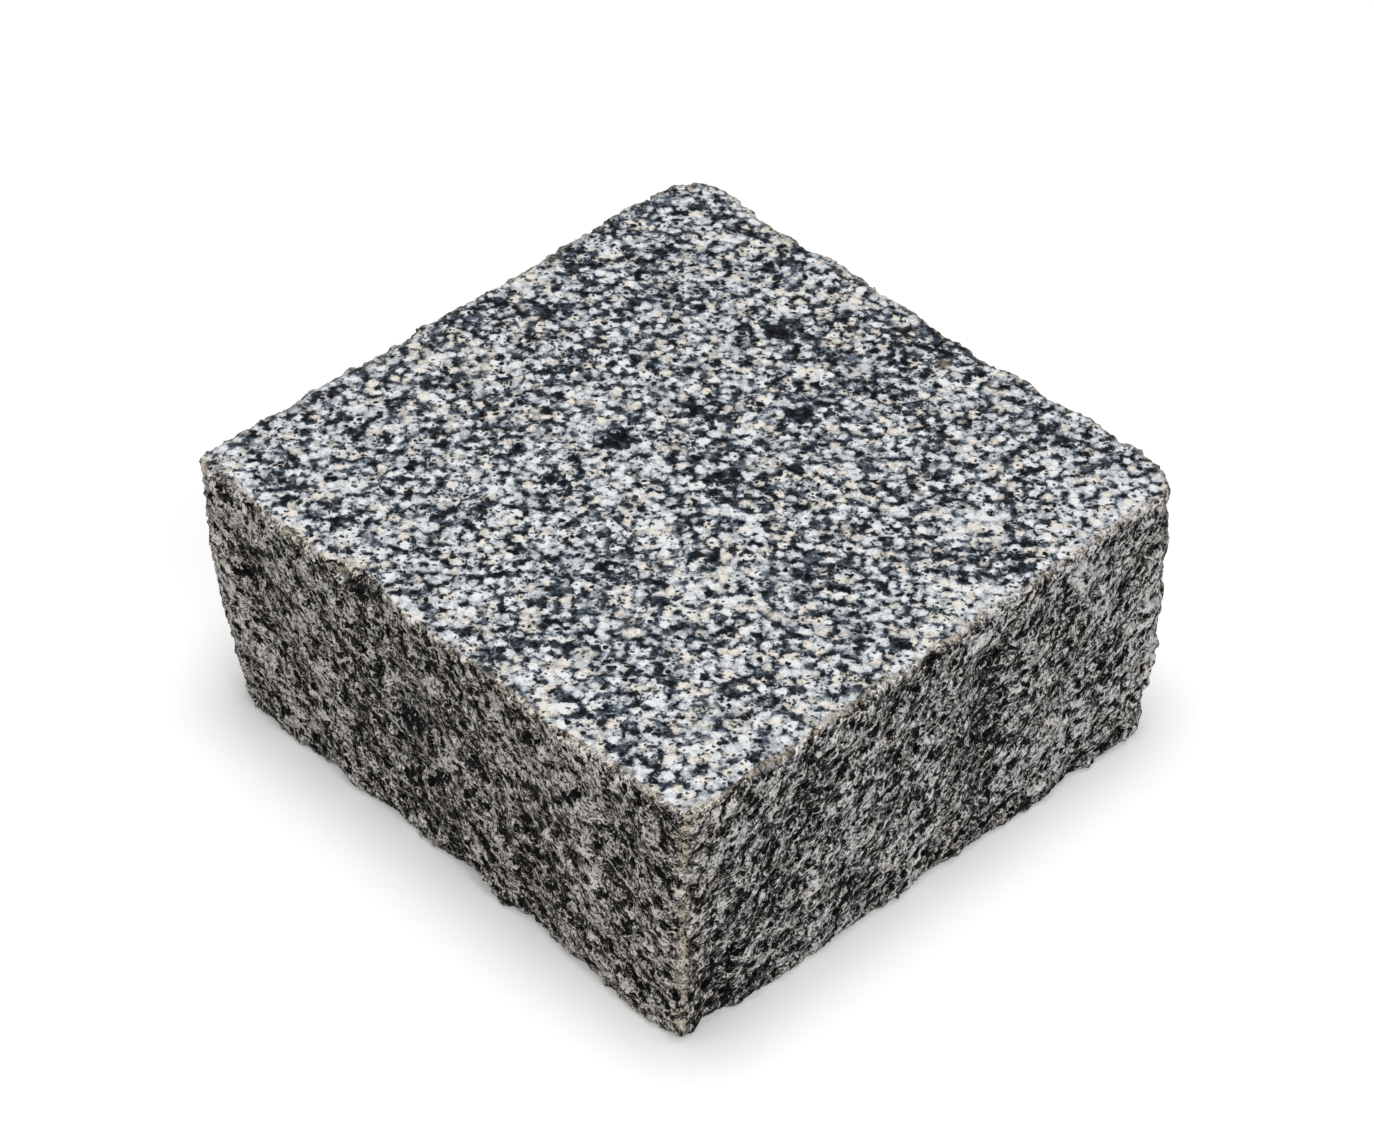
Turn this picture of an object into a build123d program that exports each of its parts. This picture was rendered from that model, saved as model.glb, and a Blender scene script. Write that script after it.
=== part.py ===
from build123d import *
from math import cos, exp, floor, pi, radians, sin
import os

os.makedirs("parts", exist_ok=True)

# A squared granite sett. Millimetres, Z up, the middle of its bed at the origin.
# Its top face is flat. Its four sides are split: wavy, ridged along the rift of
# the stone, hollowed where flakes came away, and leaning in towards the bed.
# Sides are named front, right, back and left, anticlockwise seen from above, with
# the front towards -Y.

# Size between the mean planes of opposite sides at the top face, before hollows
length = 202.0
width = 197.0
height = 94.0

# How far each side has run in by the time it reaches the bed
front_undercut = 6.2
right_undercut = 4.0
back_undercut = 7.0
left_undercut = 2.6

# Out of square: how much further out the end of each side stands than its start,
# at the top face and at the bed
front_top_runout = -1.8
right_top_runout = -1.4
back_top_runout = -1.2
left_top_runout = -1.4
front_bed_runout = 2.4
right_bed_runout = 2.2
back_bed_runout = -1.5
left_bed_runout = 0.0

# Plan radius of the four upright corners
front_left_radius = 12.0
front_right_radius = 4.5
back_right_radius = 9.0
back_left_radius = 13.0

# Broken edges round the top face and the bed
arris = 1.0
bed_edge = 1.6

# Waves left by splitting: how many go round the block, how deep, and how many
# turns of the wave they lean by over the height
swell_count = 9
swell_depth = 0.3
swell_lean = 0.3
flute_count = 27
flute_depth = 0.35
flute_lean = 0.9

# Ridges along the rift, the plane in which the stone parts most easily: the
# rift's direction and dip, how far apart and how deep the ridges are, and how far
# they wander to and fro, over what distance
rift_bearing = -45.0
rift_dip = 49.4
ridge_pitch = 16.0
ridge_depth = 0.6
wander = 4.0
wander_pitch = 49.0

# Hollows where larger flakes came away, and lumps where the depth is negative.
# Each is its distance along the side, its height above the bed, half its width,
# half its height and its depth.
front_hollows = [
    (0.0, 50.0, 14.0, 30.0, -3.4),
    (70.0, 94.0, 7.0, 14.0, 1.4),
    (82.0, 28.0, 14.0, 70.0, 2.3),
    (103.0, 0.0, 8.0, 30.0, 1.4),
    (137.0, 0.0, 7.0, 35.0, 2.2),
    (172.0, 63.0, 9.0, 13.0, 2.2),
]
right_hollows = [
    (9.0, 0.0, 11.0, 34.0, 2.6),
    (42.0, 62.0, 12.0, 16.0, 2.2),
    (58.0, 0.0, 8.0, 26.0, 1.0),
    (119.0, 55.0, 9.0, 40.0, 2.2),
    (160.0, 0.0, 8.0, 30.0, 1.2),
]
back_hollows = [
    (0.0, 26.0, 12.0, 34.0, -2.2),
    (4.0, 94.0, 9.0, 20.0, 2.0),
    (26.0, 94.0, 7.0, 40.0, 1.3),
    (51.0, 94.0, 7.0, 40.0, 1.5),
    (76.0, 94.0, 8.0, 45.0, 2.6),
    (95.0, 94.0, 7.0, 40.0, 2.3),
    (118.0, 94.0, 7.0, 40.0, 1.7),
    (162.0, 94.0, 9.0, 40.0, 1.5),
]
left_hollows = [
    (12.0, 94.0, 10.0, 30.0, 1.2),
    (50.0, 94.0, 7.0, 40.0, 1.6),
    (82.0, 90.0, 14.0, 50.0, 2.3),
    (114.0, 94.0, 7.0, 40.0, 1.7),
    (146.0, 94.0, 7.0, 35.0, 1.2),
    (170.0, 94.0, 9.0, 35.0, 1.6),
]

# Scars where flakes left an edge: each is its distance along the side, the
# radius of its scoop and how far that bites in
front_top_scars = [(29.0, 16.0, 1.4), (71.0, 20.0, 2.4), (93.0, 14.0, 1.4), (157.0, 18.0, 1.3)]
right_top_scars = [(27.0, 18.0, 1.6), (66.0, 14.0, 1.4), (141.0, 20.0, 1.8)]
back_top_scars = [(150.0, 16.0, 1.2)]
left_top_scars = [(66.0, 18.0, 1.4)]
front_bed_scars = [(112.0, 20.0, 1.8)]
right_bed_scars = [(100.0, 18.0, 1.6)]
back_bed_scars = [(48.0, 22.0, 2.0), (139.0, 20.0, 1.8)]
left_bed_scars = [(120.0, 20.0, 2.0)]
scar_tilt = 25.0

# The flat facets that the sides are broken into: how many along the straight part
# of a side, round half a corner, and from the bed's edge up to the arris
side_facets = 28
corner_facets = 2
facet_rows = 14

# How unevenly the stone tore: how far the facets' corners stand out or in, and how
# far they stray from an even grid, as a share of a facet
tear_depth = 0.45
tear_stray = 0.3

# Factors that scatter a sine into uneven numbers, one for each facet corner
scatter_column = 12.9898
scatter_row = 78.233
scatter_draw = 37.719
scatter_gain = 43758.5453


def side_stations():
    """The plan of the upright block before any relief, one list for each side.

    A station is x, y, the outward direction's x and y, the distance gone round
    the block so far, and the facet's width where the station is free to stray. A
    side runs from the middle of one rounded corner up to the middle of the next,
    with the arcs drawn from their angle.
    """
    radii = [front_left_radius, front_right_radius, back_right_radius, back_left_radius]
    turn = pi / 4 / corner_facets
    sides = []
    gone = 0.0
    for side in range(4):
        first = radii[side]
        last = radii[(side + 1) % 4]
        span, depth = (length, width) if side % 2 == 0 else (width, length)
        straight = span - first - last
        facet_width = straight / side_facets
        begin = first * pi / 4
        end = begin + straight
        plan = []
        for step in range(corner_facets):
            angle = pi / 4 + turn * step
            part = first * turn * step
            plan.append((first - first * cos(angle), first - first * sin(angle), angle, part, 0.0))
        for step in range(side_facets + 1):
            part = facet_width * step
            room = facet_width if 0 < step < side_facets else 0.0
            plan.append((first + part, 0.0, pi / 2, begin + part, room))
        for step in range(1, corner_facets):
            angle = pi / 2 - turn * step
            part = last * turn * step
            along = span - last + last * cos(angle)
            plan.append((along, last - last * sin(angle), pi - angle, end + part, 0.0))
        facing = side * pi / 2
        stations = []
        for along, inward, angle, part, room in plan:
            u = along - span / 2
            v = inward - depth / 2
            outward = facing + pi + angle
            x = u * cos(facing) - v * sin(facing)
            y = u * sin(facing) + v * cos(facing)
            stations.append((x, y, cos(outward), sin(outward), gone + part, room))
        sides.append(stations)
        gone += end + last * pi / 4
    return sides, gone


sides, girth = side_stations()
stations = [station for side in sides for station in side]
hollows = [
    (side[0][4] + along, up, half_width, half_height, deep)
    for side, found in zip(sides, [front_hollows, right_hollows, back_hollows, left_hollows])
    for along, up, half_width, half_height, deep in found
]
steep = radians(rift_dip)
bearing = radians(rift_bearing)
across_rift = Vector(sin(steep) * cos(bearing), sin(steep) * sin(bearing), cos(steep))
along_rift = Vector(-sin(bearing), cos(bearing), 0)


def wave(around, up, count, depth, lean):
    """One wave that closes on itself round the block and leans with height."""
    return depth * cos(2 * pi * (count * around / girth + lean * up / height))


def ridges(x, y, up):
    """The ridges where the face crosses the rift, wandering along their length."""
    place = Vector(x, y, up)
    wandered = wander * sin(2 * pi * place.dot(along_rift) / wander_pitch)
    return ridge_depth * cos(2 * pi * (place.dot(across_rift) + wandered) / ridge_pitch)


def relief(x, y, around, up):
    """How far the split face stands out of, or in from, its mean plane."""
    out = wave(around, up, swell_count, swell_depth, swell_lean)
    out += wave(around, up, flute_count, flute_depth, flute_lean)
    out += ridges(x, y, up)
    for centre, level, half_width, half_height, deep in hollows:
        apart = (around - centre + girth / 2) % girth - girth / 2
        out -= deep * exp(-((apart / half_width) ** 2) - ((up - level) / half_height) ** 2)
    return out


def settle(x, y, up):
    """Moves a point of the upright block to where the leaning sides have it."""
    right = x / length + 0.5
    back = y / width + 0.5
    high = up / height
    low = 1 - high
    front_out = (front_top_runout * high + front_bed_runout * low) * (right - 0.5) - front_undercut * low
    right_out = (right_top_runout * high + right_bed_runout * low) * (back - 0.5) - right_undercut * low
    back_out = (back_top_runout * high + back_bed_runout * low) * (0.5 - right) - back_undercut * low
    left_out = (left_top_runout * high + left_bed_runout * low) * (0.5 - back) - left_undercut * low
    return Vector(
        x + right_out * right - left_out * (1 - right),
        y + back_out * back - front_out * (1 - back),
        up,
    )


def stand_out(station, up, out):
    """The point a distance outside the upright block's plan, at one height."""
    x, y, out_x, out_y, around, room = station
    return settle(x + out_x * out, y + out_y * out, up)


def uneven(column, row, draw):
    """A number from -1 to 1 that jumps from one facet corner to the next."""
    wild = scatter_gain * sin(scatter_column * column + scatter_row * row + scatter_draw * draw)
    return 2 * (wild - floor(wild)) - 1


def outline(row, up, inset=0.0, band=0.0):
    """The corners of the facets round the block, near one height.

    Each corner strays along the side, and up or down by a share of the band of
    facets, and then stands out by the relief and by the tear's own amount.
    """
    corners = []
    for column, (x, y, out_x, out_y, around, room) in enumerate(stations):
        shift = tear_stray * room * uneven(column, row, 1)
        level = up + tear_stray * band * uneven(column, row, 2)
        strayed = (x - out_y * shift, y + out_x * shift, out_x, out_y, around + shift, room)
        out = relief(strayed[0], strayed[1], strayed[4], level) + tear_depth * uneven(column, row, 3)
        corners.append(stand_out(strayed, level, out - inset))
    return corners


def facets(lower, upper, row):
    """The flat three-sided facets of one band, with their diagonals in turns."""
    found = []
    for here in range(len(lower)):
        after = (here + 1) % len(lower)
        a, b, c, d = lower[here], lower[after], upper[after], upper[here]
        halves = [(a, b, c), (a, c, d)] if (here + row) % 2 else [(a, b, d), (b, c, d)]
        found += [Face(Wire.make_polygon(corners)) for corners in halves]
    return found


def scoop(side, along, up, radius, bite):
    """A ball that takes a flake off a side's edge at the top face or the bed.

    Its middle is off the edge, out of the side and tilted away from the face.
    """
    station = min(side, key=lambda near: abs(near[4] - side[0][4] - along))
    reach = (radius - bite) * cos(radians(scar_tilt))
    rise = (radius - bite) * sin(radians(scar_tilt))
    out = relief(station[0], station[1], station[4], up) + reach
    return Pos(stand_out(station, up, out) + Vector(0, 0, rise if up > 0 else -rise)) * Sphere(radius)


# The split sides, facet by facet, from the bed to the top face
foot = bed_edge
brow = height - arris
band = (brow - foot) / facet_rows
outlines = [outline(0, 0.0, bed_edge), outline(1, foot)]
outlines += [outline(row + 1, foot + band * row, 0.0, band) for row in range(1, facet_rows)]
outlines += [outline(facet_rows + 1, brow), outline(facet_rows + 2, height, arris)]
skin = [Face(Wire.make_polygon(outlines[0])), Face(Wire.make_polygon(outlines[-1]))]
for row, (lower, upper) in enumerate(zip(outlines, outlines[1:])):
    skin += facets(lower, upper, row)
block = Solid(Shell(skin))

# The flake scars along the top edges and the bed's edges
flakes = []
for side, scars in zip(sides, [front_top_scars, right_top_scars, back_top_scars, left_top_scars]):
    flakes += [scoop(side, along, height, radius, bite) for along, radius, bite in scars]
for side, scars in zip(sides, [front_bed_scars, right_bed_scars, back_bed_scars, left_bed_scars]):
    flakes += [scoop(side, along, 0.0, radius, bite) for along, radius, bite in scars]
block = block.cut(*flakes)
export_step(block, "parts/granite_sett.step")
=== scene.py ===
# %% [markdown]
# # A granite sett
#
# The object is one block of grey granite, about 205 x 199 x 94 mm over its lumps.
# Its top is a flat textured face, and its four sides were split, so they are wavy
# and rough.
# The CAD model holds the block's size, its waves, ridges, hollows, torn facets and
# flake scars. Here the same block is made again as one fine mesh, so that the
# broken crystals can stand out of it, and gets the look of the stone. The CAD model
# is read first, and the mesh is kept inside its box.

from math import cos, pi, radians, sin

import bpy
import numpy as np
from mathutils import Matrix, Vector


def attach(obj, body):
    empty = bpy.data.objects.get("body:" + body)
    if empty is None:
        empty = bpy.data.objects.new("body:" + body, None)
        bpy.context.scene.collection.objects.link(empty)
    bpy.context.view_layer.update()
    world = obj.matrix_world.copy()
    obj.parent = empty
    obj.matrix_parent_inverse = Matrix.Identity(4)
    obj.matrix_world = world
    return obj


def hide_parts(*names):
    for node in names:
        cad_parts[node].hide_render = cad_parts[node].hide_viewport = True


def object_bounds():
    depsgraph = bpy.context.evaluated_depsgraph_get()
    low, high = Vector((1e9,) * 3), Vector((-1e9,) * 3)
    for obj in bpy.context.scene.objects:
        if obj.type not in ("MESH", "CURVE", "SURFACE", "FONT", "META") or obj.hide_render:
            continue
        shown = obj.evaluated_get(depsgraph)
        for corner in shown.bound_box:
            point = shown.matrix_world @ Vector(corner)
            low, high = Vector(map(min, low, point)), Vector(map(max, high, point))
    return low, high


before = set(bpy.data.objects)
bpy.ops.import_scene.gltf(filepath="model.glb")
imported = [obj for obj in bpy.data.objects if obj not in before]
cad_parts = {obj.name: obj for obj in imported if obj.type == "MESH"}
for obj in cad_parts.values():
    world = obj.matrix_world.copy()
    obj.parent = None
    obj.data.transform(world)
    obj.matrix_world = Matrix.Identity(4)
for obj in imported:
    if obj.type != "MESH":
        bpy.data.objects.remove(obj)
cad_low, cad_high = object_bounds()
print("CAD box, mm:", [round(1000 * c, 2) for c in (*cad_low, *cad_high)])

# %% [markdown]
# ## The block's plan
#
# A split block starts as a squared outline with rounded corners. One could draw
# it as a curve and extrude it, but the sides lean, twist and wave, so a plan that
# is walked by distance is handier: at every distance round the block it gives a
# place and the direction that faces outwards. All lengths below are in
# millimetres, as a mason would say them, and are turned to metres at the end.

# %% Sizes of the block
LENGTH, WIDTH, HEIGHT = 202.0, 197.0, 94.0
CORNER_RADII = [12.0, 4.5, 9.0, 13.0]  # front left, front right, back right, back left
UNDERCUT = [6.2, 4.0, 7.0, 2.6]  # how far front, right, back and left run in at the bed
TOP_RUNOUT = [-1.8, -1.4, -1.2, -1.4]
BED_RUNOUT = [2.4, 2.2, -1.5, 0.0]
ARRIS, BED_EDGE = 1.0, 1.6
print("plan", LENGTH, "x", WIDTH, "mm,", HEIGHT, "mm high")


# %% Walk round the plan
SIDE_FACETS, CORNER_FACETS = 28, 2  # along the straight of a side, and round half a corner


def walk_side(side):
    """Stations on one side: x, y, outward x and y, distance gone and room to stray.

    The distance s runs from the middle of one corner arc to the middle of the
    next. On the first arc the angle is 45 degrees + s / radius, on the straight
    it is 90 degrees, and on the last arc it goes on to 135 degrees. The place on
    an arc is the arc's centre plus its radius in the direction of that angle.
    """
    first, last = CORNER_RADII[side], CORNER_RADII[(side + 1) % 4]
    span, depth = (LENGTH, WIDTH) if side % 2 == 0 else (WIDTH, LENGTH)
    begin, end = first * pi / 4, first * pi / 4 + span - first - last
    facet = (end - begin) / SIDE_FACETS
    turn = pi / 4 / CORNER_FACETS * np.arange(CORNER_FACETS)
    s = np.concatenate([first * turn, begin + facet * np.arange(SIDE_FACETS + 1), end + last * turn[1:]])
    angle = pi / 2 + np.minimum(s - begin, 0.0) / first + np.maximum(s - end, 0.0) / last
    radius = np.where(s < begin, first, np.where(s > end, last, 0.0))
    centre = np.where(s < begin, first, np.where(s > end, span - last, first + s - begin))
    along = centre - radius * np.cos(angle)
    inward = radius - radius * np.sin(angle)
    u, v = along - span / 2, inward - depth / 2
    facing = side * pi / 2
    outward = facing + pi + angle
    x = u * np.cos(facing) - v * np.sin(facing)
    y = u * np.sin(facing) + v * np.cos(facing)
    room = np.zeros_like(s)
    room[CORNER_FACETS + 1 : -CORNER_FACETS] = facet
    return np.stack([x, y, np.cos(outward), np.sin(outward), s, room], axis=1)


side_walks, side_starts, gone = [], [], 0.0
for side in range(4):
    walk = walk_side(side)
    side_starts.append(gone)
    walk[:, 4] += gone
    side_walks.append(walk)
    gone += walk[-1, 4] - side_starts[-1] + CORNER_RADII[(side + 1) % 4] * pi / 4 / CORNER_FACETS
GIRTH = gone
ring = np.concatenate(side_walks)
print("round the block:", round(GIRTH, 1), "mm in", len(ring), "facets")

# %% [markdown]
# ## Waves, ridges, hollows and lumps
#
# Splitting leaves flutes that lean across the face, ridges where the face crosses
# the rift, which is the plane in which granite parts most easily, and hollows
# where a larger flake came away. Sculpting them by hand would work for one stone,
# but a formula can be read and changed: the relief is a sum of waves that close on
# themselves round the block, less a bell-shaped dent for each hollow. The real
# sides also run in towards the bed and twist a little, so the last helper moves
# the points of an upright block to where the leaning sides have them.

# %% The relief of the split sides
WAVES = [(9, 0.3, 0.3), (27, 0.35, 0.9)]  # how many go round, depth, lean over the height
RIFT_BEARING, RIFT_DIP = radians(-45.0), radians(49.4)
RIDGE_PITCH, RIDGE_DEPTH, WANDER, WANDER_PITCH = 16.0, 0.6, 4.0, 49.0
HOLLOWS = [  # side, distance along it, height, half width, half height, depth
    (0, 0.0, 50.0, 14.0, 30.0, -3.4), (0, 70.0, 94.0, 7.0, 14.0, 1.4),
    (0, 82.0, 28.0, 14.0, 70.0, 2.3), (0, 103.0, 0.0, 8.0, 30.0, 1.4),
    (0, 137.0, 0.0, 7.0, 35.0, 2.2), (0, 172.0, 63.0, 9.0, 13.0, 2.2),
    (1, 9.0, 0.0, 11.0, 34.0, 2.6), (1, 42.0, 62.0, 12.0, 16.0, 2.2),
    (1, 58.0, 0.0, 8.0, 26.0, 1.0), (1, 119.0, 55.0, 9.0, 40.0, 2.2),
    (1, 160.0, 0.0, 8.0, 30.0, 1.2),
    (2, 0.0, 26.0, 12.0, 34.0, -2.2), (2, 4.0, 94.0, 9.0, 20.0, 2.0),
    (2, 26.0, 94.0, 7.0, 40.0, 1.3), (2, 51.0, 94.0, 7.0, 40.0, 1.5),
    (2, 76.0, 94.0, 8.0, 45.0, 2.6), (2, 95.0, 94.0, 7.0, 40.0, 2.3),
    (2, 118.0, 94.0, 7.0, 40.0, 1.7), (2, 162.0, 94.0, 9.0, 40.0, 1.5),
    (3, 12.0, 94.0, 10.0, 30.0, 1.2), (3, 50.0, 94.0, 7.0, 40.0, 1.6),
    (3, 82.0, 90.0, 14.0, 50.0, 2.3), (3, 114.0, 94.0, 7.0, 40.0, 1.7),
    (3, 146.0, 94.0, 7.0, 35.0, 1.2), (3, 170.0, 94.0, 9.0, 35.0, 1.6),
]
across_rift = np.array([sin(RIFT_DIP) * cos(RIFT_BEARING), sin(RIFT_DIP) * sin(RIFT_BEARING), cos(RIFT_DIP)])
along_rift = np.array([-sin(RIFT_BEARING), cos(RIFT_BEARING), 0.0])


def split_relief(x, y, around, up):
    """How far the face stands out of its mean plane, in millimetres.

    Each wave is depth x cos(turns). The ridges are depth x cos(distance across
    the rift / pitch), with that distance wandering by a slow sine along the rift.
    Each hollow takes away depth x exp(-distance squared), with the distance
    measured in half widths and half heights.
    """
    across = x * across_rift[0] + y * across_rift[1] + up * across_rift[2]
    along = x * along_rift[0] + y * along_rift[1]
    wandered = WANDER * np.sin(2 * pi * along / WANDER_PITCH)
    out = RIDGE_DEPTH * np.cos(2 * pi * (across + wandered) / RIDGE_PITCH)
    for count, depth, lean in WAVES:
        out = out + depth * np.cos(2 * pi * (count * around / GIRTH + lean * up / HEIGHT))
    for side, distance, level, half_width, half_height, deep in HOLLOWS:
        apart = (around - side_starts[side] - distance + GIRTH / 2) % GIRTH - GIRTH / 2
        out = out - deep * np.exp(-((apart / half_width) ** 2) - ((up - level) / half_height) ** 2)
    return out


print(len(WAVES), "waves, ridges every", RIDGE_PITCH, "mm and", len(HOLLOWS), "hollows or lumps")


# %% Lean and twist of the sides
def settle(x, y, up):
    """Moves points of the upright block to where the leaning sides have them.

    Each side is moved out by its run-out x (share gone along the side - 1/2) less
    its undercut x (share below the top). A point inside takes a share of the two
    opposite sides by its place between them.
    """
    right, back, high = x / LENGTH + 0.5, y / WIDTH + 0.5, up / HEIGHT
    gone = [right, back, 1 - right, 1 - back]
    front_out, right_out, back_out, left_out = (
        (TOP_RUNOUT[k] * high + BED_RUNOUT[k] * (1 - high)) * (gone[k] - 0.5) - UNDERCUT[k] * (1 - high)
        for k in range(4)
    )
    new_x = x + right_out * right - left_out * (1 - right)
    new_y = y + back_out * back - front_out * (1 - back)
    return np.stack([new_x, new_y, up + 0.0 * x], axis=-1)


front_middle = settle(np.float64(0.0), np.float64(-WIDTH / 2), np.array([0.0, HEIGHT]))
print("the front's middle is at y =", np.round(front_middle[:, 1], 1), "mm at the bed and the top")

# %% [markdown]
# ## Torn facets
#
# The waves are smooth, but stone tears in flat facets, 6 to 8 mm across. The
# corners of the facets are the places of a grid, moved to and fro on the face and
# in and out of it by uneven amounts, and each cell of the grid is two flat
# triangles. The CAD solid has the same facets, so the two agree.

# %% Corners of the facets
FACET_ROWS = 14
TEAR_DEPTH, TEAR_STRAY = 0.45, 0.3


def uneven(column, row, draw):
    """A number from -1 to 1 for each corner: what a large sine has after its point."""
    wild = 43758.5453 * np.sin(12.9898 * column + 78.233 * row + 37.719 * draw)
    return 2 * (wild - np.floor(wild)) - 1


foot, brow = BED_EDGE, HEIGHT - ARRIS
row, column = np.mgrid[0 : FACET_ROWS + 3, 0 : len(ring)]
inner = (row > 1) & (row < FACET_ROWS + 1)
flat_x, flat_y, out_x, out_y, flat_around, room = ring.T[:, None, :]
shift = TEAR_STRAY * room * uneven(column, row, 1)
up = np.concatenate([[0.0], np.linspace(foot, brow, FACET_ROWS + 1), [HEIGHT]])[:, None]
up = up + inner * TEAR_STRAY * (brow - foot) / FACET_ROWS * uneven(column, row, 2)
x, y, around = flat_x - out_y * shift, flat_y + out_x * shift, flat_around + shift
relief = split_relief(x, y, around, up) + TEAR_DEPTH * uneven(column, row, 3)
out = relief - BED_EDGE * (row == 0) - ARRIS * (row == FACET_ROWS + 2)
facet_corners = settle(x + out_x * out, y + out_y * out, up)
print("facet corners:", facet_corners.shape[0], "rows x", facet_corners.shape[1])

# %% [markdown]
# ## One closed mesh
#
# Each facet of the sides is cut into small cells for the fine relief. Beyond the
# bevels at the top and the bed a few more rows run on over the edges, because the
# edges are where the stone is chipped. The middle of the top and of the bed is
# nearly flat, so a grid with four times wider cells does there, and the cells at
# its border take in the four small steps of the last row. All borders are shared,
# so the block is one closed skin. The inside of a square grid is blended from its
# four borders (a Coons patch), which follows the wavy outline.

# %% The skirt
CUTS_ALONG, CUTS_UP = 7, 6
COLUMNS = CUTS_ALONG * len(ring) // 4  # per side


def on_facets(grid, rows, columns):
    """Points on the flat facets at fractional rows and columns of their grid.

    With s and t the shares gone in a cell, the point is the near corner a, plus
    the smaller of s and t along the diagonal, plus what s or t has over along its
    own edge. The diagonals lie in turns, so every second cell is read mirrored.
    """
    grid = np.concatenate([grid, grid[:, :1]], axis=1)
    i = np.minimum(np.floor(rows).astype(int), len(grid) - 2)
    j = np.floor(columns).astype(int)
    t, s = rows - i, columns - j
    mirrored = (i + j) % 2 == 0
    near, far = j + mirrored, j + 1 - mirrored
    a, b, c, d = grid[i, near], grid[i, far], grid[i + 1, far], grid[i + 1, near]
    s, t = np.where(mirrored, 1 - s, s)[..., None], t[..., None]
    both = np.minimum(s, t)
    return a + both * (c - a) + (s - both) * (b - a) + (t - both) * (d - a)


wall_rows = np.linspace(1, FACET_ROWS + 1, CUTS_UP * FACET_ROWS + 1)
grid_rows = np.concatenate([[0, 0.5], wall_rows, [FACET_ROWS + 1.5, FACET_ROWS + 2]])
grid_columns = np.arange(4 * COLUMNS) / CUTS_ALONG
cells = np.meshgrid(grid_rows, grid_columns, indexing="ij")
skirt = on_facets(facet_corners, *cells)
standing = on_facets(relief[..., None], *cells)[..., 0]
bed_insets, top_insets = np.array([3.2, 1.4]), np.array([0.8, 1.8, 3.2])


def drawn_in(edge, insets):
    """The edge row again, scaled towards the middle by each inset over 100 mm."""
    scale = 1 - insets[:, None, None] / 100
    return edge * np.concatenate([scale, scale, 1 + 0 * scale], axis=-1)


skirt = np.concatenate([drawn_in(skirt[0], bed_insets), skirt, drawn_in(skirt[-1], top_insets)])
standing = np.concatenate([standing[[0] * len(bed_insets)], standing, standing[[-1] * len(top_insets)]])
insets = np.interp(grid_rows, [0, 1, FACET_ROWS + 1, FACET_ROWS + 2], [BED_EDGE, 0, 0, ARRIS])
insets = np.concatenate([BED_EDGE + bed_insets, insets, ARRIS + top_insets])[:, None]
print("skirt:", skirt.shape[0], "rows x", skirt.shape[1], "columns")

# %% The top and the bed
WIDER = 4
CELLS = COLUMNS // WIDER


def cap_grid(border):
    """A square grid inside a closed border of 4 x CELLS points.

    The point at (i, j) is the blend of the two borders it lies between in each
    direction, less the blend of the four corners, with straight shares.
    """
    n = CELLS
    closed = np.concatenate([border, border[:1]])
    front, right = closed[0 : n + 1], closed[n : 2 * n + 1]
    back, left = closed[2 * n : 3 * n + 1][::-1], closed[3 * n : 4 * n + 1][::-1]
    u = np.linspace(0, 1, n + 1)[:, None, None]
    v = np.linspace(0, 1, n + 1)[None, :, None]
    between_sides = (1 - v) * front[:, None] + v * back[:, None]
    between_ends = (1 - u) * left[None] + u * right[None]
    front_corners = (1 - u) * (1 - v) * front[0] + u * (1 - v) * front[-1]
    corners = front_corners + (1 - u) * v * back[0] + u * v * back[-1]
    return between_sides + between_ends - corners


def cap_index(ring_start, inner_start):
    """Vertex numbers of a cap: its border is every fourth point of the skirt's row."""
    n = CELLS
    index = np.empty((n + 1, n + 1), dtype=np.int64)
    index[1:n, 1:n] = inner_start + np.arange((n - 1) ** 2).reshape(n - 1, n - 1)
    around = ring_start + np.arange(0, 4 * COLUMNS, WIDER)
    index[:, 0] = around[0 : n + 1]
    index[n, :] = around[n : 2 * n + 1]
    index[::-1, n] = around[2 * n : 3 * n + 1]
    index[0, ::-1] = np.concatenate([around[3 * n : 4 * n], around[:1]])
    return index


def quads(index):
    """The four corners of every cell of a grid of vertex numbers."""
    return np.stack([index[:-1, :-1], index[1:, :-1], index[1:, 1:], index[:-1, 1:]], axis=-1).reshape(-1, 4)


def cap_faces(ring_start, inner_start):
    """A cap's cells as lists, with the skirt's small steps put into its border."""
    count = 4 * COLUMNS
    cells = []
    for corners in quads(cap_index(ring_start, inner_start)).tolist():
        cell = []
        for here, after in zip(corners, corners[1:] + corners[:1]):
            cell.append(here)
            both_on_border = all(ring_start <= corner < ring_start + count for corner in (here, after))
            if both_on_border and (after - here) % count == WIDER:
                cell += [ring_start + (here - ring_start + k) % count for k in range(1, WIDER)]
        cells.append(cell)
    return cells


rows, columns = skirt.shape[:2]
skirt_index = np.arange(rows * columns).reshape(rows, columns)
skirt_index = np.concatenate([skirt_index, skirt_index[:, :1]], axis=1)
bed, top = cap_grid(skirt[0, ::WIDER]), cap_grid(skirt[-1, ::WIDER])
inside = (slice(1, -1), slice(1, -1))
bed_start = rows * columns
top_start = bed_start + (CELLS - 1) ** 2
points = np.concatenate([skirt.reshape(-1, 3), bed[inside].reshape(-1, 3), top[inside].reshape(-1, 3)])
faces = quads(skirt_index.T).tolist()
faces += [cell[::-1] for cell in cap_faces(0, bed_start)] + cap_faces((rows - 1) * columns, top_start)
print("one skin of", len(points), "points and", sum(len(face) - 2 for face in faces), "triangles")

# %% [markdown]
# ## Flake scars
#
# Along the edges small flakes left scooped scars. A boolean with balls would cut
# the mesh into slivers, so the points that lie inside a ball are pushed straight
# away from its middle on to its surface, which leaves the same scoop.

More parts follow.
